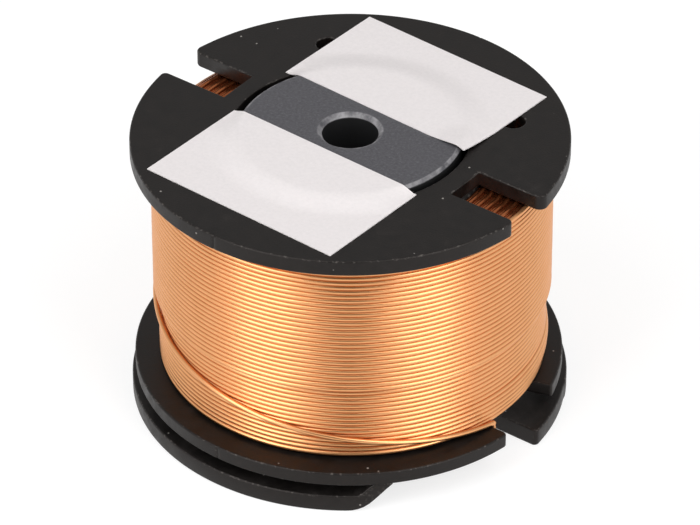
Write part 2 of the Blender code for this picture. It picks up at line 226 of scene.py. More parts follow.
# Materials. Each list of stops goes over a noise's value
BLACK = (0.0, 0.0, 0.0)
WHITE = (1.0, 1.0, 1.0)
PLASTIC_STOPS = (
    (0.35, (0.0045, 0.0038, 0.0035)),
    (0.6, (0.0085, 0.0072, 0.0067)),
    (0.8, (0.02, 0.0175, 0.0165)),
)
PLASTIC_WORN = (0.22, 0.2, 0.185)
PLASTIC_TINT = (1.0, 0.92, 0.88)
FERRITE_STOPS = (
    (0.32, (0.052, 0.051, 0.057)),
    (0.55, (0.079, 0.077, 0.086)),
    (0.75, (0.125, 0.122, 0.132)),
)
FERRITE_WORN = (0.42, 0.41, 0.42)
# Painted shade: the core's marked walls are near black, for the shade down its hole and in the gap
# round it
WALL_SHADE_COLOR = (0.004, 0.004, 0.0045)
DUST_PER_METRE = 900.0
DUST_SHARE_EMPTY = 0.9
DUST_DISC = (0.07, 0.12)
DUST_COLOR = (0.3, 0.28, 0.26)
COPPER_COLORS = ((0.79, 0.385, 0.17), (0.755, 0.36, 0.152))
COPPER_ROUGHNESS = 0.3
ROUGHNESS_SPREAD = 0.025
# The inner layers' copper is darker: painted shade, for the shade on the layers down in the notches
SHADED_COPPER_COLORS = ((0.5, 0.16, 0.06), (0.36, 0.1, 0.035))
SHADED_COPPER_ROUGHNESS = 0.2
COPPER_TINT = (1.0, 0.9, 0.85)
PAPER_STOPS = ((0.3, (0.77, 0.73, 0.73)), (0.7, (0.83, 0.785, 0.785)))

# Sockets of a Mix node set to colours, which share their names with its other sockets
MIX_UNDER = 6
MIX_OVER = 7
MIX_RESULT = 2

# Studio. Azimuths are counted from the camera's. The room is white, apart from a greyer ceiling
# and a darker strip up its camera side and its far side. The coil mirrors the camera side's strip
# as a darker band between two softboxes
ROOM_LIGHT = 0.23
CAMERA_SIDE_AZIMUTH = -1.0
CAMERA_SIDE_GREY = 0.05
FAR_SIDE_GREY = 0.5
CAMERA_SIDE_SPAN = (0.26, 0.36)
FAR_SIDE_SPAN = (-0.1, 0.3)
CEILING_GREY = 0.6
CEILING_SPAN = (0.15, 0.55)
BOX_DISTANCE = 0.7
FLOOR_GREY = 0.3
FLOOR_GLOW = 0.76
FLOOR_HEIGHT = -0.05 * MM
FLOOR_HALF_SIZE = 2.0
FLOOR_ROUGHNESS = 0.9

# Each softbox: azimuth, elevation, (width, height) and radiance
SOFTBOXES = {
    "left_box": (-48.0, 36.0, (0.38, 1.0), 3.3),
    "right_box": (43.0, 36.0, (0.36, 1.0), 3.3),
    "top_box": (0.0, 88.0, (0.6, 0.6), 0.5),
}

# Camera, found from the outlines of the flanges in the photograph
CAMERA_AZIMUTH = -52.7
CAMERA_DISTANCE = 0.4791
CAMERA_HEIGHT = 0.3573
CAMERA_PITCH = 35.546
CAMERA_YAW = 0.007
CAMERA_ROLL = -0.156
CAMERA_LENS = 292.75
SENSOR_WIDTH = 36.0


def polar(radius, azimuth, z=0.0):
    """Point at a radius and an azimuth in degrees."""
    angle = math.radians(azimuth)
    return np.array([radius * math.cos(angle), radius * math.sin(angle), z])


def smooth_step(share):
    """0 to 1 with level ends."""
    share = min(max(share, 0.0), 1.0)
    return share * share * (3 - 2 * share)


def unit(vectors):
    return vectors / np.linalg.norm(vectors, axis=-1, keepdims=True)


# Shells: each is (points, faces), a closed surface


def joined(shells):
    """Several shells as one."""
    points, faces = [], []
    for shell_points, shell_faces in shells:
        first = sum(len(p) for p in points)
        points.append(np.asarray(shell_points))
        faces.extend([tuple(first + i for i in face) for face in shell_faces])
    return np.vstack(points), faces


def swept(rings, closed=False):
    """Skin over rings of equally many points. It closes on itself, or has a cap at each end."""
    rings = np.asarray(rings)
    ring_count, size = rings.shape[:2]
    faces = []
    for i in range(ring_count if closed else ring_count - 1):
        here, there = i * size, (i + 1) % ring_count * size
        for j in range(size):
            k = (j + 1) % size
            faces.append((here + j, here + k, there + k, there + j))
    if not closed:
        last = (ring_count - 1) * size
        faces.append(tuple(reversed(range(size))))
        faces.append(tuple(range(last, last + size)))
    return rings.reshape(-1, 3), faces


def turned(profile, steps=CIRCLE_STEPS):
    """A closed profile of (radius, height) points turned about the axis."""
    rings = [[polar(r, 360.0 * i / steps, z) for r, z in profile] for i in range(steps)]
    return swept(rings, closed=True)


def rounded_profile(corners):
    """Profile with its corners rounded: a list of (radius, height, rounding)."""
    points = []
    count = len(corners)
    for i, (r, z, rounding) in enumerate(corners):
        corner = np.array([r, z])
        if rounding == 0:
            points.append(tuple(corner))
            continue
        before = np.array(corners[i - 1][:2])
        after = np.array(corners[(i + 1) % count][:2])
        points.extend(tuple(p) for p in fillet(before, corner, after, rounding, EDGE_STEPS))
    return points


def fillet(before, corner, after, radius, steps=CORNER_STEPS):
    """Round stretch in place of the corner between two straight runs."""
    back, ahead = unit(before - corner), unit(after - corner)
    half = math.acos(max(-1.0, min(1.0, float(back @ ahead)))) / 2
    centre = corner + unit(back + ahead) * radius / math.sin(half)
    start = corner + back * radius / math.tan(half) - centre
    end = corner + ahead * radius / math.tan(half) - centre
    first = math.atan2(start[1], start[0])
    sweep = (math.atan2(end[1], end[0]) - first + math.pi) % math.tau - math.pi
    turns = [first + sweep * i / steps for i in range(steps + 1)]
    return [centre + radius * np.array([math.cos(turn), math.sin(turn)]) for turn in turns]


def inset(loop, distance):
    """Plan loop moved into the material, which lies on its left."""
    loop = np.asarray(loop)
    coming = unit(loop - np.roll(loop, 1, axis=0))
    going = unit(np.roll(loop, -1, axis=0) - loop)
    left_coming = np.stack([-coming[:, 1], coming[:, 0]], axis=1)
    left_going = np.stack([-going[:, 1], going[:, 0]], axis=1)
    mitre = left_coming + left_going
    mitre /= np.sum(mitre * left_coming, axis=1, keepdims=True)
    return loop + distance * mitre


def edge_steps(bottom, top, edge):
    """(inset, height) of each ring of a plate, from its top face round its side to the foot."""
    upper = []
    for i in range(EDGE_STEPS + 1):
        angle = math.pi / 2 * (1 - i / EDGE_STEPS)
        upper.append((edge * (1 - math.cos(angle)), top - edge * (1 - math.sin(angle))))
    lower = [(step, bottom + top - z) for step, z in reversed(upper)]
    hold_top, hold_foot = (0.0, top - edge - HOLD), (0.0, bottom + edge + HOLD)
    return [(edge + HOLD, top)] + upper + [hold_top, hold_foot] + lower + [(edge + HOLD, bottom)]


def plate(loops, bottom, top):
    """Flat plate with rounded edges. Each loop is (plan points, edge rounding)."""
    points, faces, caps = [], [], ([], [])
    for loop, edge in loops:
        size = len(loop)
        rings = []
        for step, z in edge_steps(bottom, top, edge):
            rings.append(len(points))
            points.extend((x, y, z) for x, y in inset(loop, step))
        for here, there in zip(rings, rings[1:]):
            for j in range(size):
                k = (j + 1) % size
                faces.append((here + j, there + j, there + k, here + k))
        caps[0].append(range(rings[0], rings[0] + size))
        caps[1].append(range(rings[-1], rings[-1] + size))
    for rings in caps:
        order = [i for ring in rings for i in ring]
        outlines = [[Vector(points[i]) for i in ring] for ring in rings]
        faces.extend(tuple(order[i] for i in face) for face in tessellate_polygon(outlines))
    return np.array(points), faces


def tube(path, radius=WIRE_RADIUS, sides=WIRE_SIDES):
    """Round wire along a path, with its sides carried along without twist."""
    path = np.asarray(path)
    tangents = unit(np.gradient(path, axis=0))
    outward = path[0] * (1, 1, 0)
    normal = unit(outward - tangents[0] * (outward @ tangents[0]))
    angles = np.linspace(0, math.tau, sides, endpoint=False)
    rings = []
    for place, tangent in zip(path, tangents):
        normal = unit(normal - tangent * (normal @ tangent))
        other = np.cross(tangent, normal)
        around = np.outer(np.cos(angles), normal) + np.outer(np.sin(angles), other)
        rings.append(place + radius * around)
    return swept(rings)


def curve_point(p, q, r, s, t):
    """Point at share t of the way from q to r, on the Catmull-Rom curve through four knots."""
    slope = r - p
    bend = 2 * p - 5 * q + 4 * r - s
    twist = 3 * q - p - 3 * r + s
    return 0.5 * (2 * q + slope * t + bend * t**2 + twist * t**3)


def smooth_route(knots, spacing):
    """Points at an even spacing on a smooth curve through the knots."""
    knots = [np.asarray(knot) for knot in knots]
    padded = [2 * knots[0] - knots[1]] + knots + [2 * knots[-1] - knots[-2]]
    route = []
    for p, q, r, s in zip(padded, padded[1:], padded[2:], padded[3:]):
        pieces = max(1, round(float(np.linalg.norm(r - q)) / spacing))
        route.extend(curve_point(p, q, r, s, i / pieces) for i in range(pieces))
    route.append(knots[-1])
    return route


def mark_wear(bm):
    """Mark the points on sharp outer edges, where a surface wears first."""
    wear = bm.verts.layers.float.new("wear")
    start, end = WEAR_ANGLES
    for vert in bm.verts:
        turn = max((edge.calc_face_angle_signed(0.0) for edge in vert.link_edges), default=0.0)
        vert[wear] = smooth_step((math.degrees(turn) - start) / (end - start))


def add_piece(name, shell, material, slot, *nodes):
    """Object made of a shell, which rides on the part's one body and stands for CAD nodes."""
    points, faces = shell
    mesh = bpy.data.meshes.new(name)
    mesh.from_pydata([tuple(p) for p in points], [], faces)
    bm = bmesh.new()
    bm.from_mesh(mesh)
    bmesh.ops.recalc_face_normals(bm, faces=bm.faces)
    mark_wear(bm)
    bm.to_mesh(mesh)
    bm.free()
    mesh.materials.append(material)
    mesh.shade_smooth()
    obj = bpy.data.objects.new(name, mesh)
    bpy.context.scene.collection.objects.link(obj)
    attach(obj, "root")
    if nodes:
        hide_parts(*nodes)
    return obj


# Bobbin


def arc(radius, start, end, centre=(0.0, 0.0)):
    """Plan points along an arc, in degrees, with its two ends."""
    steps = max(2, math.ceil(abs(end - start) / 360.0 * CIRCLE_STEPS))
    return [polar(radius, start + (end - start) * i / steps)[:2] + centre for i in range(steps + 1)]


def circle(radius, centre=(0.0, 0.0), steps=CIRCLE_STEPS, clockwise=False):
    """Closed plan loop."""
    points = [polar(radius, 360.0 * i / steps)[:2] + centre for i in range(steps)]
    return points[::-1] if clockwise else points


def azimuth_of(point):
    return math.degrees(math.atan2(point[1], point[0]))


def notch_mouth(half_width, corner_radius, rim_radius):
    """Wall of the +X notch on its +Y side, from the hub to the rounded corner at the rim."""
    corner_azimuth = math.degrees(math.asin(half_width / rim_radius))
    floor = np.array([HUB_RADIUS, half_width])
    corner = polar(rim_radius, corner_azimuth)[:2]
    past = corner + (-corner[1], corner[0])
    return [floor] + fillet(floor, corner, past, corner_radius)


def mirrored(points):
    """Points mirrored to the -X side, in the order that keeps the loop running one way."""
    return [np.array([-x, y]) for x, y in reversed(points)]


def turned_round(points):
    """Points half a turn further round."""
    return [-point for point in points]


def top_flange():
    """Flange with two notches, two small holes and the bore."""
    halves = []
    for corner_radius in NOTCH_CORNERS.values():
        mouth = notch_mouth(NOTCH_HALF_WIDTH, corner_radius, FLANGE_RADIUS)
        rim = azimuth_of(mouth[-1])
        outline = mouth + rim_with_slit(FLANGE_RADIUS, rim, 180.0 - rim)
        halves.append(outline + mirrored(mouth))
    rear, front = halves
    bore = circle(BORE_RADIUS, BORE_CENTRE, clockwise=True)
    loops = [(rear + turned_round(front), BOBBIN_EDGE), (bore, BORE_EDGE)]
    for azimuth in PIN_HOLE_AZIMUTHS:
        centre = polar(PIN_HOLE_CIRCLE_RADIUS, azimuth)[:2]
        hole = circle(PIN_HOLE_RADIUS, centre, PIN_HOLE_STEPS, clockwise=True)
        loops.append((hole, BOBBIN_EDGE))
    return plate(loops, FLANGE_UNDERSIDE, TOP_FACE)


def slit(radius):
    """Small groove across the rim."""
    aside = math.degrees(SLIT_HALF_WIDTH / radius)
    places = ((-aside, 0.0), (0.0, SLIT_DEPTH), (aside, 0.0))
    return [polar(radius - depth, SLIT_AZIMUTH + step)[:2] for step, depth in places]


def rim_with_slit(radius, start, end):
    """Rim from one azimuth to another, without its two ends."""
    before = arc(radius, start, SLIT_AZIMUTH - SLIT_MARGIN)[1:]
    after = arc(radius, SLIT_AZIMUTH + SLIT_MARGIN, end)[:-1]
    return before + slit(radius) + after


def upper_deck_half(half):
    """Rear half of the upper deck's outline, or the front half turned round. Beside the +X notch
    it is cut back, to let the wire into the slot."""
    radius = UPPER_DECK_RADII[half]
    cut = CUTBACK_AZIMUTHS[half]
    mouth = notch_mouth(LOWER_NOTCH_FAR, LOWER_CORNER_RADIUS, radius)
    floor = np.array([HUB_RADIUS, LOWER_NOTCH_NEAR])
    step_corner = np.array([math.sqrt(CUTBACK_RADIUS**2 - LOWER_NOTCH_NEAR**2), LOWER_NOTCH_NEAR])
    along = step_corner + (-step_corner[1], step_corner[0])
    inner = polar(CUTBACK_RADIUS, cut)[:2]
    outer = polar(radius, cut)[:2]
    past = outer + (-outer[1], outer[0])
    before_inner = inner + (inner[1], -inner[0])
    outline = [floor]
    outline += fillet(floor, step_corner, along, STEP_CORNER_RADIUS)
    outline += arc(CUTBACK_RADIUS, azimuth_of(step_corner), cut)[2:-2]
    outline += fillet(before_inner, inner, outer, CUTBACK_CORNER_RADIUS)
    outline += fillet(inner, outer, past, CUTBACK_CORNER_RADIUS)
    outline += rim_with_slit(radius, azimuth_of(outline[-1]), 180.0 - azimuth_of(mouth[-1]))
    return outline + mirrored(mouth)


def upper_deck():
    outline = upper_deck_half("rear") + turned_round(upper_deck_half("front"))
    hole = circle(HUB_RADIUS - DECK_INTO_HUB, clockwise=True)
    return plate([(outline, BOBBIN_EDGE), (hole, HOLD)], SLOT_ROOF, LOWER_FLANGE_TOP)


def hub():
    """Tube between the flanges, with the ledge that carries the core at its foot."""
    top = FLANGE_UNDERSIDE + HUB_INTO_FLANGE
    inside = BORE_RADIUS + HUB_BEHIND_BORE
    corners = [
        (inside, top, 0),
        (HUB_RADIUS, top, 0),
        (HUB_RADIUS, 0.0, BOBBIN_EDGE),
        (LEDGE_RADIUS, 0.0, BOBBIN_EDGE),
        (LEDGE_RADIUS, LEDGE_THICKNESS, BOBBIN_EDGE),
        (inside, LEDGE_THICKNESS, 0),
    ]
    return turned(rounded_profile(corners))


def arc_degrees(length):
    """Azimuth that an arc length takes at the rim."""
    return math.degrees(length / FLANGE_RADIUS)


RAMP_TAN = math.tan(math.radians(RAMP_SLOPE))
RAMP_TOE_RUN = RAMP_TOE_RADIUS * math.tan(math.radians(RAMP_SLOPE / 2))


def ramp_underside(azimuth):
    """Height of the foot of the lower deck: level, and then up the ramp, with a rounded toe."""
    corner = RAMP_TOP_AZIMUTH - arc_degrees(SLOT_ROOF / RAMP_TAN)
    run = math.radians(azimuth - corner) * FLANGE_RADIUS
    if run <= -RAMP_TOE_RUN:
        return 0.0
    into = run + RAMP_TOE_RUN
    if into < RAMP_TOE_RADIUS * math.sin(math.radians(RAMP_SLOPE)):
        return RAMP_TOE_RADIUS - math.sqrt(RAMP_TOE_RADIUS**2 - into**2)
    return run * RAMP_TAN


def slot_floor(azimuth):
    """Height of the slot's floor: level, and then up the inside of the ramp."""
    roof_end = RAMP_TOP_AZIMUTH - arc_degrees(RAMP_WALL / math.sin(math.radians(RAMP_SLOPE)))
    floor_end = roof_end - arc_degrees((SLOT_ROOF - SLOT_FLOOR) / RAMP_TAN)
    return SLOT_FLOOR + max(0.0, math.radians(azimuth - floor_end) * FLANGE_RADIUS * RAMP_TAN)


def rim_swell(azimuth):
    """How far the lower deck's rim stands out past the flange's radius."""
    return RIM_STEP * smooth_step((azimuth - RIM_STEP_AZIMUTH) / RIM_STEP_ARC)


def deck_section(foot, floor, shrink=0.0, swell=0.0):
    """Section of lower deck and slot wall, as (radius, height) points."""
    top = SLOT_ROOF + WALL_INTO_DECK
    floor = min(floor, SLOT_ROOF + RAMP_INTO_DECK)
    rounding = min(BOBBIN_EDGE, (floor - foot) * RAMP_EDGE_SHARE)
    inner, outer = SLOT_WALL_RADIUS + shrink, FLANGE_RADIUS - shrink + swell
    corners = [
        (inner, foot + shrink, rounding),
        (outer, foot + shrink, rounding),
        (outer, floor - shrink, rounding),
        (SLOT_RADIUS - shrink, floor - shrink, 0),
        (SLOT_RADIUS - shrink, top, 0),
        (inner, top, 0),
    ]
    return rounded_profile(corners)


def deck_end():
    """Rings of the lower deck's end: flat, at the notch's wall, and rounded at the rim."""
    rings = []
    for i in range(CORNER_STEPS + 1):
        back = LOWER_CORNER_RADIUS * (1 - math.cos(math.pi / 2 * i / CORNER_STEPS))
        recede = LOWER_CORNER_RADIUS * (1 - math.sin(math.pi / 2 * i / CORNER_STEPS))
        y = LOWER_NOTCH_NEAR + back
        shrink = BOBBIN_EDGE if i == 0 else 0.0
        ring = []
        for r, z in deck_section(0.0, SLOT_FLOOR, shrink):
            share = max(0.0, (r - SLOT_RADIUS) / (FLANGE_RADIUS - SLOT_RADIUS))
            r -= recede * share**LOWER_CORNER_POWER
            ring.append((math.sqrt(r * r - y * y), y, z))
        rings.append(ring)
    return rings


def lower_deck():
    """Lower deck from a notch to the ramp, swept round the axis."""
    rings = deck_end()
    first = azimuth_of(rings[-1][0][:2]) + DECK_END_ARC
    steps = round((RAMP_TOP_AZIMUTH - first) / 360.0 * CIRCLE_STEPS)
    for i in range(steps + 1):
        azimuth = first + (RAMP_TOP_AZIMUTH - first) * i / steps
        foot, floor = ramp_underside(azimuth), slot_floor(azimuth)
        section = deck_section(foot, floor, swell=rim_swell(azimuth))
        rings.append([polar(r, azimuth, z) for r, z in section])
    return swept(rings)


def front_deck():
    """The lower deck's other half: turned half round, and a little off centre."""
    points, faces = lower_deck()
    return points * (-1, -1, 1) + (*FRONT_DECK_SHIFT, 0.0), faces


def build_bobbin(material):
    shells = [top_flange(), upper_deck(), hub(), lower_deck(), front_deck()]
    return add_piece("bobbin_body", joined(shells), material, "bobbin", "bobbin")


# Core


def chamfered(radius, height, width, upward):
    """Profile of a chamfer, with a point short of it on each side. A hole's has a width below 0."""
    level = radius - width
    upright = height - upward * abs(width)
    hold = math.copysign(CORE_HOLD, width)
    points = [(level - hold, height), (level, height), (radius, upright)]
    points.append((radius, upright - upward * CORE_HOLD))
    return points if width * upward > 0 else points[::-1]


def mark_painted_wall_shade(core):
    """Mark the core's walls for painted shade: near black, for the shade down the hole and in the
    gap round the core.
    """
    marks = core.data.attributes.new("bore", "FLOAT", "POINT")
    for vert, mark in zip(core.data.vertices, marks.data):
        radius = math.hypot(vert.co.x, vert.co.y)
        chamfer = HOLE_CHAMFER if radius < CORE_HOLE_RADIUS + HOLD else CORE_CHAMFER
        on_wall = min(abs(radius - CORE_HOLE_RADIUS), abs(radius - CORE_RADIUS)) < HOLD
        inside = CORE_FOOT + chamfer + HOLD < vert.co.z < CORE_TOP - chamfer - HOLD
        mark.value = 1.0 if on_wall and inside else 0.0


def build_core(material):
    corners = chamfered(CORE_RADIUS, CORE_TOP, CORE_CHAMFER, 1)
    corners += chamfered(CORE_RADIUS, CORE_FOOT, CORE_CHAMFER, -1)
    corners += chamfered(CORE_HOLE_RADIUS, CORE_FOOT, -HOLE_CHAMFER, -1)
    corners += chamfered(CORE_HOLE_RADIUS, CORE_TOP, -HOLE_CHAMFER, 1)
    core = add_piece("core_body", turned(corners), material, "core", "ferrite_core")
    core.data.set_sharp_from_angle(angle=math.radians(CORE_SHARP_ANGLE))
    mark_painted_wall_shade(core)


# Winding


def bulge(azimuth):
    """How far the coil stands out where its turns step down, more than on its other side."""
    share = (1 + math.cos(math.radians(azimuth - BULGE_AZIMUTH))) / 2
    return BULGE_FAR_SIDE + BULGE * share**2


def waver(azimuth, turn, seed):
    """Slight unevenness of a turn, which changes slowly along the wire."""
    x, y, _ = polar(WAVER_ROUND, azimuth)
    return TURN_WAVER * noise.noise(Vector((x, y, WAVER_PER_TURN * turn + seed)))


def turn_place(travel, layer_centre, first_height, seed):
    """Point on a layer after so many degrees from its first step down."""
    turns = travel / 360.0
    whole = math.floor(turns)
    step_share = STEP_DOWN_SWEEP / 360.0
    stepped = whole + smooth_step((turns - whole - (1 - step_share)) / step_share)
    azimuth = STEP_DOWN_AZIMUTH + STEP_DOWN_SWEEP / 2 + travel
    radius = layer_centre + bulge(azimuth) + waver(azimuth, turns, seed)
    height = first_height - stepped * TURN_PITCH + waver(azimuth, turns, seed + HEIGHT_SEED)
    return polar(radius, azimuth, height)


def crossing_height(azimuth, start_height):
    """Height of the finish wire as it slants down over the turns."""
    foot = LOWER_FLANGE_TOP + WIRE_RADIUS
    share = (azimuth - CROSSING_START_AZIMUTH) / (CROSSING_END_AZIMUTH - CROSSING_START_AZIMUTH)
    return start_height + (foot - start_height) * share


def lead_exit(x, bend):
    """Knots down the wall of the +X notch at a distance x out, then along under the deck."""
    tail_height = SLOT_ROOF - SEAT_GAP - WIRE_RADIUS
    aside = math.copysign(2 * WIRE_RADIUS, LEAD_TAIL_RADIUS - x)
    knots = [
        np.array([x, LEAD_WALL_Y, LOWER_FLANGE_TOP - bend]),
        np.array([x, LEAD_WALL_Y, (LOWER_FLANGE_TOP + SLOT_ROOF) / 2]),
        np.array([x + aside, LEAD_WALL_Y, tail_height]),
    ]
    first = math.degrees(math.asin(LEAD_WALL_Y / LEAD_TAIL_RADIUS)) - arc_degrees(LEAD_BEND_LENGTH)
    for i in range(LEAD_TAIL_KNOTS):
        azimuth = first - LEAD_TAIL_SWEEP * i / (LEAD_TAIL_KNOTS - 1)
        knots.append(polar(LEAD_TAIL_RADIUS, azimuth, tail_height))
    return knots


def last_layer_turns():
    """The last, part-filled layer. It climbs from the layer below at its start."""
    entry = STEP_DOWN_AZIMUTH + STEP_DOWN_SWEEP / 2
    end_travel = 360.0 * TURNS_IN_LAST_LAYER + (CROSSING_START_AZIMUTH - entry) % 360.0
    count = round(end_travel / 360.0 * STEPS_PER_TURN)
    path = []
    for i in range(count + 1):
        travel = LAST_LAYER_START + (end_travel - LAST_LAYER_START) * i / count
        point = turn_place(travel, LAST_LAYER_CENTRE, FIRST_TURN_HEIGHT, LAST_LAYER_SEED)
        risen = smooth_step((travel - LAST_LAYER_START) / LAST_LAYER_CLIMB)
        inward = (LAST_LAYER_CENTRE - FULL_LAYER_CENTRE) * (1 - risen) / LAST_LAYER_CENTRE
        path.append(point * (1 - inward, 1 - inward, 1))
    return path


def crossing(start_height):
    """Knots of the finish wire as it slants down over the turns."""
    sweep = CROSSING_END_AZIMUTH - CROSSING_START_AZIMUTH
    knots = []
    for i in range(1, CROSSING_KNOTS + 1):
        azimuth = CROSSING_START_AZIMUTH + sweep * i / CROSSING_KNOTS
        height = crossing_height(azimuth, start_height)
        knots.append(polar(CROSSING_RIDE + bulge(azimuth), azimuth, height))
    return knots


def last_layer_path():
    """The last layer, and on as the finish wire to its end under the deck."""
    path = last_layer_turns()
    out = math.sqrt(CROSSING_RIDE**2 - LEAD_WALL_Y**2)
    knots = [path[-1]] + crossing(path[-1][2]) + lead_exit(out, 0.0)
    return path + smooth_route(knots, LEAD_SPACING)[1:]


def lower_bulge(azimuth, turn):
    """How far the middle ones of the bare lower turns stand out, on one side of the coil."""
    around = max(0.0, math.cos(math.radians(azimuth - LOWER_BULGE_AZIMUTH)))
    (start, end), (fade_in, fade_out) = LOWER_BULGE_TURNS, LOWER_BULGE_FADES
    among = smooth_step((turn - start) / fade_in) * (1 - smooth_step((turn - end) / fade_out))
    return LOWER_BULGE * around**2 * among


def full_layer_path():
    """The lower turns of the last full layer, which the last layer leaves bare."""
    first_height = FIRST_TURN_HEIGHT - (FULL_LAYER_TURNS_HIDDEN + 0.5) * TURN_PITCH
    whole_turns = TURNS_PER_LAYER - 2 - FULL_LAYER_TURNS_HIDDEN
    count = (whole_turns + 1) * STEPS_PER_TURN
    path = []
    for i in range(count + 1):
        travel = 360.0 * (whole_turns + LOWEST_TURN_SHARE) * i / count
        place = turn_place(travel, FULL_LAYER_CENTRE, first_height, FULL_LAYER_SEED)
        out = lower_bulge(azimuth_of(place), travel / 360.0) / FULL_LAYER_CENTRE
        path.append(place * (1 + out, 1 + out, 1))
    return path


def layer_ends():
    """Profile of the layers' ends: (radius, how far it stands out). The ends of the two kinds of
    layers are half a turn apart at both flanges."""
    profile = []
    for layer in range(FULL_LAYERS):
        centre = HUB_RADIUS + WIRE_RADIUS + layer * LAYER_RISE
        set_back = (FULL_LAYERS - 1 - layer) % 2 == 0
        reach = math.radians(SET_BACK_ARC if set_back else FULL_ARC)
        for i in range(-ARC_STEPS, ARC_STEPS + 1):
            angle = reach * i / ARC_STEPS
            out = WIRE_RADIUS * (1 + math.cos(angle)) - (TURN_PITCH / 2 if set_back else 0.0)
            profile.append((centre + WIRE_RADIUS * math.sin(angle), out))
    return profile


def inner_layers():
    """The layers under the last ones, with their first and last turns as rings."""
    ends = [(r, out) for r, out in layer_ends() if r > HUB_RADIUS + HOLD]
    ridge = 2 * WIRE_RADIUS + RING_CLEARANCE
    behind = FULL_LAYER_CENTRE - INNER_SIDE_SET_BACK
    top = [(r, FLANGE_UNDERSIDE - ridge + out) for r, out in ends]
    foot = [(r, LOWER_FLANGE_TOP + ridge - out) for r, out in ends if r < behind]
    step = FIRST_TURN_HEIGHT - (TURNS_IN_LAST_LAYER - 1) * TURN_PITCH
    side = [(top[-1][0], step), (behind, step), (behind, LOWER_FLANGE_TOP + INNER_FOOT_CLEARANCE)]
    return turned(top + side + foot[::-1])


def start_wire_path():
    """The start of the wire, from the hub out through the -X notch."""
    foot = LOWER_FLANGE_TOP + 2 * WIRE_RADIUS
    knots = [polar(HUB_RADIUS + 2 * WIRE_RADIUS, START_LEAD_AZIMUTH, foot)]
    knots += lead_exit(HUB_RADIUS + SEAT_GAP + WIRE_RADIUS, START_LEAD_BEND)
    return np.array(smooth_route(knots, LEAD_SPACING)) * (-1, -1, 1)


def build_winding(material, painted_shade_copper):
    add_piece("last_layer", tube(last_layer_path()), material, "wire", "winding", "finish_lead")
    add_piece("full_layer", tube(full_layer_path()), material, "wire")
    # The inner layers take the darker copper: painted shade, for the shade in the notches
    add_piece("inner_layers", inner_layers(), painted_shade_copper, "wire")
    add_piece("start_wire", tube(start_wire_path()), material, "wire", "start_lead")


# Labels


def label_height(x, y):
    """Underside of a label: on the core's top, and down over its edge to the flange. It drops
    steepest at the label's inner corners."""
    radius = math.hypot(x, y)
    spread = LABEL_DROP_SPREAD * smooth_step(abs(y) / LABEL_INNER_EDGE - 1)
    share = smooth_step((radius - LABEL_DROP_START) / (LABEL_DROP_END + spread - LABEL_DROP_START))
    return CORE_TOP - share * (CORE_TOP - TOP_FACE) + LABEL_LIFT


def corner_rise(along, across, most):
    """How far the inner +X corner stands up, at distances from it along and across the label."""
    away = math.hypot(along, across)
    return most * smooth_step(1 - away / LABEL_CORNER_SPAN)


def label_face(centre, length, tilt, rise, lift):
    """Grid of points of one face of a label, at a lift over its underside."""
    turn = math.radians(tilt)
    columns, rows = LABEL_CELLS
    points = []
    for j in range(rows + 1):
        for i in range(columns + 1):
            u = (i / columns - 0.5) * length
            v = (j / rows - 0.5) * LABEL_WIDTH
            x = centre[0] + u * math.cos(turn) - v * math.sin(turn)
            y = centre[1] + u * math.sin(turn) + v * math.cos(turn)
            height = label_height(x, y) + corner_rise(length / 2 - u, v + LABEL_WIDTH / 2, rise)
            points.append((x, y, height + lift))
    return points


def sheet_faces(columns, rows):
    """Faces of a sheet over two grids of points, the upper one first, with a wall round them."""
    width = columns + 1
    size = (rows + 1) * width
    faces = []
    for j in range(rows):
        for i in range(columns):
            a = j * width + i
            quad = (a, a + 1, a + 1 + width, a + width)
            faces += [quad, tuple(size + k for k in reversed(quad))]
    border = list(range(columns)) + [j * width + columns for j in range(rows)]
    border += [rows * width + i for i in range(columns, 0, -1)]
    border += [j * width for j in range(rows, 0, -1)]
    for a, b in zip(border, border[1:] + border[:1]):
        faces.append((b, a, size + a, size + b))
    return faces


def build_label(name, centre, length, tilt, rise, material):
    top = label_face(centre, length, tilt, rise, LABEL_THICKNESS)
    underside = label_face(centre, length, tilt, rise, 0.0)
    sheet = (np.array(top + underside), sheet_faces(*LABEL_CELLS))
    label = add_piece(name + "_paper", sheet, material, "label", name)
    label.data.set_sharp_from_angle(angle=math.radians(LABEL_SHARP_ANGLE))


# Materials


def new_material(name, color, roughness, metallic=0.0):
    material = bpy.data.materials.new(name)
    material.use_nodes = True
    shader = material.node_tree.nodes["Principled BSDF"]
    shader.inputs["Base Color"].default_value = (*color, 1.0)
    shader.inputs["Roughness"].default_value = roughness
    shader.inputs["Metallic"].default_value = metallic
    return material, shader


def node(material, kind, **settings):
    """Shader node with its settings: sockets by their name, and the rest as attributes."""
    made = material.node_tree.nodes.new(kind)
    for key, value in settings.items():
        if key in made.inputs:
            made.inputs[key].default_value = value
        else:
            setattr(made, key, value)
    return made


def link(material, source, output, target, socket):
    material.node_tree.links.new(source.outputs[output], target.inputs[socket])


def object_noise(material, scale, detail=4.0, roughness=0.55):
    """Noise fixed to the object, with features of about 1 / scale metres."""
    place = node(material, "ShaderNodeTexCoord")
    texture = node(material, "ShaderNodeTexNoise", Scale=scale, Detail=detail, Roughness=roughness)
    link(material, place, "Object", texture, "Vector")
    return texture


def ramp(material, source, output, stops):
    """Colour ramp over a texture's value: a list of (position, colour)."""
    made = node(material, "ShaderNodeValToRGB")
    elements = made.color_ramp.elements
    while len(elements) < len(stops):
        elements.new(0.5)
    for element, (position, color) in zip(elements, stops):
        element.position = position
        element.color = (*color, 1.0)
    link(material, source, output, made, "Fac")
    return made


def grey(value):
    return (value, value, value)


def bump(material, shader, texture, output, strength, depth):
    made = node(material, "ShaderNodeBump", Strength=strength, Distance=depth)
    link(material, texture, output, made, "Height")
    link(material, made, "Normal", shader, "Normal")


def product(material, first, first_output, second, second_output):
    made = node(material, "ShaderNodeMath", operation="MULTIPLY")
    link(material, first, first_output, made, 0)
    link(material, second, second_output, made, 1)
    return made


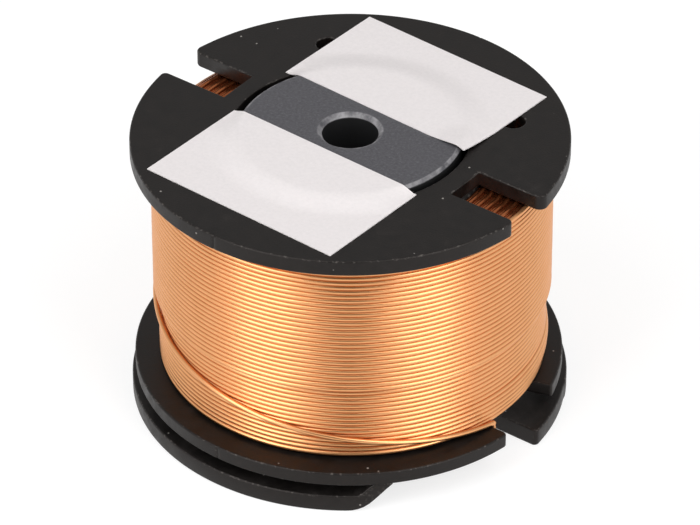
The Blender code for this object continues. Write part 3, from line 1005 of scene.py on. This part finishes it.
def covered(material, surface, output, color, share, share_output):
    """Surface colour with another colour over it, by a share from 0 to 1."""
    mix = node(material, "ShaderNodeMix", data_type="RGBA")
    link(material, share, share_output, mix, "Factor")
    link(material, surface, output, mix, MIX_UNDER)
    mix.inputs[MIX_OVER].default_value = (*color, 1.0)
    return mix


def worn(material, surface, bare, scale, amount, span):
    """A ramp's colour with the bare colour showing in patches along the worn edges. The patches
    grow from nothing to the full amount over a span of the noise."""
    marks = node(material, "ShaderNodeAttribute", attribute_name="wear")
    stops = [(span[0], BLACK), (span[1], grey(amount))]
    texture = object_noise(material, scale, detail=6.0)
    patches = ramp(material, texture, "Fac", stops)
    share = product(material, marks, "Fac", patches, "Color")
    return covered(material, surface, "Color", bare, share, "Value")


def dusty(material, surface):
    """A mix's colour with specks of dust: small discs, in some of a Voronoi texture's cells."""
    place = node(material, "ShaderNodeTexCoord")
    cells = node(material, "ShaderNodeTexVoronoi", Scale=DUST_PER_METRE)
    link(material, place, "Object", cells, "Vector")
    disc = ramp(material, cells, "Distance", [(DUST_DISC[0], WHITE), (DUST_DISC[1], BLACK)])
    kept = node(material, "ShaderNodeSeparateColor")
    link(material, cells, "Color", kept, "Color")
    chosen = node(material, "ShaderNodeMath", operation="GREATER_THAN")
    chosen.inputs[1].default_value = DUST_SHARE_EMPTY
    link(material, kept, "Red", chosen, 0)
    share = product(material, disc, "Color", chosen, "Value")
    return covered(material, surface, MIX_RESULT, DUST_COLOR, share, "Value")


def black_plastic():
    material, shader = new_material("black_plastic", (0.008, 0.007, 0.0065), roughness=0.45)
    shader.inputs["Specular IOR Level"].default_value = 0.28
    shader.inputs["Specular Tint"].default_value = (*PLASTIC_TINT, 1.0)
    scuffs = object_noise(material, scale=700.0, detail=8.0, roughness=0.7)
    color = ramp(material, scuffs, "Fac", PLASTIC_STOPS)
    surface = worn(material, color, PLASTIC_WORN, scale=2200.0, amount=0.4, span=(0.54, 0.7))
    link(material, dusty(material, surface), MIX_RESULT, shader, "Base Color")
    grain = object_noise(material, scale=5200.0, detail=2.0)
    gloss = ramp(material, scuffs, "Fac", [(0.35, grey(0.36)), (0.7, grey(0.56))])
    link(material, gloss, "Color", shader, "Roughness")
    bump(material, shader, grain, "Fac", strength=0.6, depth=0.018 * MM)
    return material


def ferrite():
    material, shader = new_material("ferrite", (0.08, 0.08, 0.088), roughness=0.6)
    grain = object_noise(material, scale=3200.0, detail=6.0, roughness=0.7)
    color = ramp(material, grain, "Fac", FERRITE_STOPS)
    surface = worn(material, color, FERRITE_WORN, scale=700.0, amount=0.65, span=(0.38, 0.64))
    # Painted shade: the marked walls, down the hole and in the gap round the core, are made near
    # black
    marks = node(material, "ShaderNodeAttribute", attribute_name="bore")
    inside = covered(material, surface, MIX_RESULT, WALL_SHADE_COLOR, marks, "Fac")
    link(material, inside, MIX_RESULT, shader, "Base Color")
    bump(material, shader, grain, "Fac", strength=0.5, depth=0.015 * MM)
    return material


def enamelled_copper(name, light, dark, roughness):
    """Copper under clear enamel, mottled between two colours."""
    material, shader = new_material(name, light, roughness, metallic=0.95)
    shader.inputs["Specular Tint"].default_value = (*COPPER_TINT, 1.0)
    shade = object_noise(material, scale=420.0)
    color = ramp(material, shade, "Fac", [(0.3, dark), (0.7, light)])
    link(material, color, "Color", shader, "Base Color")
    smear = object_noise(material, scale=300.0, detail=3.0)
    smooth, rough = roughness - ROUGHNESS_SPREAD, roughness + ROUGHNESS_SPREAD
    stops = [(0.3, grey(smooth)), (0.7, grey(rough))]
    gloss = ramp(material, smear, "Fac", stops)
    link(material, gloss, "Color", shader, "Roughness")
    return material


def label_paper():
    material, shader = new_material("label_paper", (0.80, 0.76, 0.76), roughness=0.6)
    fibre = object_noise(material, scale=2600.0, detail=6.0, roughness=0.65)
    color = ramp(material, fibre, "Fac", PAPER_STOPS)
    link(material, color, "Color", shader, "Base Color")
    bump(material, shader, fibre, "Fac", strength=0.15, depth=0.01 * MM)
    return material


# Stage


def math_node(tree, operation, first, second=None):
    """Output of a sum over one or two other outputs."""
    made = tree.nodes.new("ShaderNodeMath")
    made.operation = operation
    tree.links.new(first, made.inputs[0])
    if second is not None:
        tree.links.new(second, made.inputs[1])
    return made.outputs[0]


def mixed(tree, share, first, second):
    """Output of a mix of two shaders' outputs. At a share of 1 it is the second."""
    made = tree.nodes.new("ShaderNodeMixShader")
    tree.links.new(share, made.inputs["Fac"])
    tree.links.new(first, made.inputs[1])
    tree.links.new(second, made.inputs[2])
    return made.outputs[0]


def light_rays(tree):
    """1 for camera, glossy and transmission rays, and 0 for the rest."""
    path = tree.nodes.new("ShaderNodeLightPath")
    total = path.outputs["Is Camera Ray"]
    for name in ("Is Glossy Ray", "Is Transmission Ray"):
        total = math_node(tree, "MAXIMUM", total, path.outputs[name])
    return total


def shaded_span(tree, value, span, low, high):
    """A value's span mapped smoothly to brightness from low to high."""
    made = tree.nodes.new("ShaderNodeMapRange")
    made.interpolation_type = "SMOOTHSTEP"
    made.inputs["From Min"].default_value, made.inputs["From Max"].default_value = span
    made.inputs["To Min"].default_value = low
    made.inputs["To Max"].default_value = high
    tree.links.new(value, made.inputs["Value"])
    return made.outputs["Result"]


def room_shade(tree):
    """White up to eye level, with a greyer ceiling, and darker strips up the camera's side and
    the far side."""
    place = tree.nodes.new("ShaderNodeTexCoord")
    heading = CAMERA_AZIMUTH + CAMERA_SIDE_AZIMUTH
    shares = []
    for direction in (polar(1.0, heading), polar(1.0, heading + 90.0), (0.0, 0.0, 1.0)):
        along = tree.nodes.new("ShaderNodeVectorMath")
        along.operation = "DOT_PRODUCT"
        along.inputs[1].default_value = direction
        tree.links.new(place.outputs["Generated"], along.inputs[0])
        shares.append(along.outputs["Value"])
    front, aside, up = shares
    beside = shaded_span(tree, math_node(tree, "ABSOLUTE", aside), CAMERA_SIDE_SPAN, 0.0, 1.0)
    band = shaded_span(tree, front, FAR_SIDE_SPAN, FAR_SIDE_GREY, CAMERA_SIDE_GREY)
    walls = math_node(tree, "MAXIMUM", beside, band)
    ceiling = shaded_span(tree, up, CEILING_SPAN, 1.0, CEILING_GREY)
    return math_node(tree, "MINIMUM", walls, ceiling)


def build_world():
    """White room. The camera sees plain white, glossy and transmission rays see its darker sides,
    and the rest get its soft light."""
    world = bpy.data.worlds.new("studio")
    bpy.context.scene.world = world
    world.use_nodes = True
    tree = world.node_tree
    soft = tree.nodes["Background"]
    white = tree.nodes.new("ShaderNodeBackground")
    room = tree.nodes.new("ShaderNodeBackground")
    for shader in (soft, white, room):
        shader.inputs["Color"].default_value = (*WHITE, 1.0)
    soft.inputs["Strength"].default_value = ROOM_LIGHT
    tree.links.new(room_shade(tree), room.inputs["Strength"])
    path = tree.nodes.new("ShaderNodeLightPath")
    seen = mixed(tree, path.outputs["Is Camera Ray"], room.outputs[0], white.outputs[0])
    light = mixed(tree, light_rays(tree), soft.outputs[0], seen)
    tree.links.new(light, tree.nodes["World Output"].inputs["Surface"])


def floor_material():
    """Pale grey. A little of its own light, for the camera, makes it read white."""
    material, shader = new_material("floor", grey(FLOOR_GREY), FLOOR_ROUGHNESS)
    tree = material.node_tree
    glow = tree.nodes.new("ShaderNodeEmission")
    glow.inputs["Color"].default_value = (*WHITE, 1.0)
    glow.inputs["Strength"].default_value = FLOOR_GLOW
    both = tree.nodes.new("ShaderNodeAddShader")
    tree.links.new(shader.outputs[0], both.inputs[0])
    tree.links.new(glow.outputs[0], both.inputs[1])
    light = mixed(tree, light_rays(tree), shader.outputs[0], both.outputs[0])
    tree.links.new(light, tree.nodes["Material Output"].inputs["Surface"])
    return material


def build_floor():
    half, height = FLOOR_HALF_SIZE, FLOOR_HEIGHT
    signs = ((-1, -1), (1, -1), (1, 1), (-1, 1))
    mesh = bpy.data.meshes.new("floor")
    mesh.from_pydata([(x * half, y * half, height) for x, y in signs], [], [(0, 1, 2, 3)])
    mesh.materials.append(floor_material())
    floor = bpy.data.objects.new("floor", mesh)
    bpy.context.scene.collection.objects.link(floor)


def softbox(name, azimuth, elevation, size, radiance):
    """Area lamp aimed at the coil. Its azimuth is counted from the camera's."""
    width, height = size
    lamp = bpy.data.lights.new(name, "AREA")
    lamp.shape = "RECTANGLE"
    lamp.size = width
    lamp.size_y = height
    lamp.energy = radiance * math.pi * width * height
    obj = bpy.data.objects.new(name, lamp)
    up = math.radians(elevation)
    target = Vector((0.0, 0.0, TOP_FACE / 2))
    across, rise = BOX_DISTANCE * math.cos(up), BOX_DISTANCE * math.sin(up)
    obj.location = target + Vector(polar(across, CAMERA_AZIMUTH + azimuth, rise))
    obj.rotation_euler = (target - obj.location).to_track_quat("-Z", "Y").to_euler()
    bpy.context.scene.collection.objects.link(obj)


def build_camera():
    data = bpy.data.cameras.new("camera")
    data.lens = CAMERA_LENS
    data.sensor_width = SENSOR_WIDTH
    camera = bpy.data.objects.new("camera", data)
    heading = CAMERA_AZIMUTH + 180.0 + CAMERA_YAW
    camera.rotation_mode = "XYZ"
    camera.location = polar(CAMERA_DISTANCE, CAMERA_AZIMUTH, CAMERA_HEIGHT)
    pitch = math.radians(CAMERA_PITCH)
    forward = Vector(polar(math.cos(pitch), heading, -math.sin(pitch)))
    camera.rotation_euler = forward.to_track_quat("-Z", "Y").to_euler()
    camera.rotation_euler.rotate_axis("Z", math.radians(CAMERA_ROLL))
    bpy.context.scene.collection.objects.link(camera)
    bpy.context.scene.camera = camera


def main():
    bpy.context.scene.view_settings.view_transform = "Standard"
    build_bobbin(black_plastic())
    build_core(ferrite())
    build_winding(
        enamelled_copper("enamelled_copper", *COPPER_COLORS, COPPER_ROUGHNESS),
        enamelled_copper("copper_with_painted_shade", *SHADED_COPPER_COLORS, SHADED_COPPER_ROUGHNESS),
    )
    paper = label_paper()
    for name, (centre, length, tilt, rise) in LABELS.items():
        build_label(name, centre, length, tilt, rise, paper)
    build_world()
    build_floor()
    for name, (azimuth, elevation, size, radiance) in SOFTBOXES.items():
        softbox(name, azimuth, elevation, size, radiance)
    build_camera()


main()
